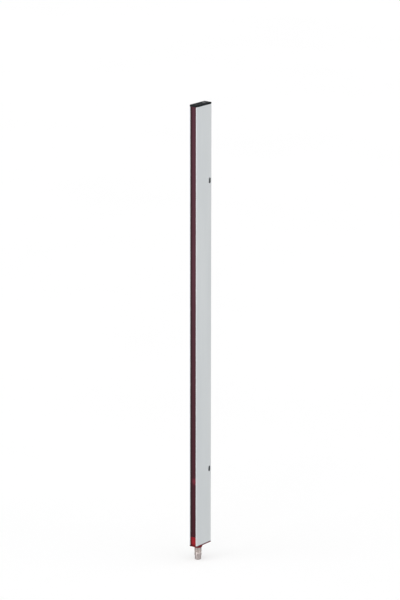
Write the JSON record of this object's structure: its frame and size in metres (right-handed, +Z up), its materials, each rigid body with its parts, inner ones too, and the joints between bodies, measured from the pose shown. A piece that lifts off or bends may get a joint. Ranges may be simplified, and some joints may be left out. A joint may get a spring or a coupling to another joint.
{
  "type": "light barrier bar",
  "caption": "Slim upright light barrier bar: extruded aluminium section with a dark red front window, end caps and a threaded plug at the foot, fixed through slots.",
  "frame": {"origin": "centre of the two mounting slots on the mounting face, which is also mid-length of the bar without its plug", "axes": "+Z up along the bar, plug downwards; -Y out of the window; -X out of the mounting face, +X out of the wide outer face"},
  "size_m": [0.01, 0.027, 0.5208],
  "materials": {
    "anodised_aluminium": "fine matt natural anodised extrusion",
    "red_filter": "glossy dark red filter plastic, near black",
    "black_rubber": "matt black rubber",
    "black_plastic": "finely textured black moulding",
    "dark_steel": "blackened steel",
    "red_plastic": "smooth red moulding",
    "plated_brass": "nickel-plated turned brass",
    "contact_carrier_plastic": "smooth black insulator",
    "gold_contact": "gold-plated contact",
    "board_laminate": "green solder resist",
    "carrier_plastic": "light-absorbing black plastic",
    "clear_plastic": "clear optical plastic",
    "chip_epoxy": "matt moulded chip package",
    "capacitor_yellow": "moulded capacitor body",
    "status_red": "red status light",
    "flex_film": "amber flexible printed film"
  },
  "bodies": {
    "root": {"housing_profile": "anodised_aluminium", "front_window": "red_filter", "window_seal_left": "black_rubber", "window_seal_right": "black_rubber", "top_cap": "black_plastic", "top_cap_gasket": "black_rubber", "top_cap_screw": "dark_steel", "bottom_cap": "red_plastic", "bottom_cap_gasket": "black_rubber", "bottom_cap_screw": "dark_steel", "connector_shell": "plated_brass", "connector_insert": "contact_carrier_plastic", "contact_pins": "gold_contact", "connector_seal": "black_rubber", "circuit_board": "board_laminate", "emitter_leds": "clear_plastic", "optic_carrier": "carrier_plastic", "lens_strip": "clear_plastic", "control_chip": "chip_epoxy", "driver_chips": "chip_epoxy", "capacitors": "capacitor_yellow", "status_led": "status_red", "light_guide": "clear_plastic", "connector_flex": "flex_film"}
  },
  "joints": []
}
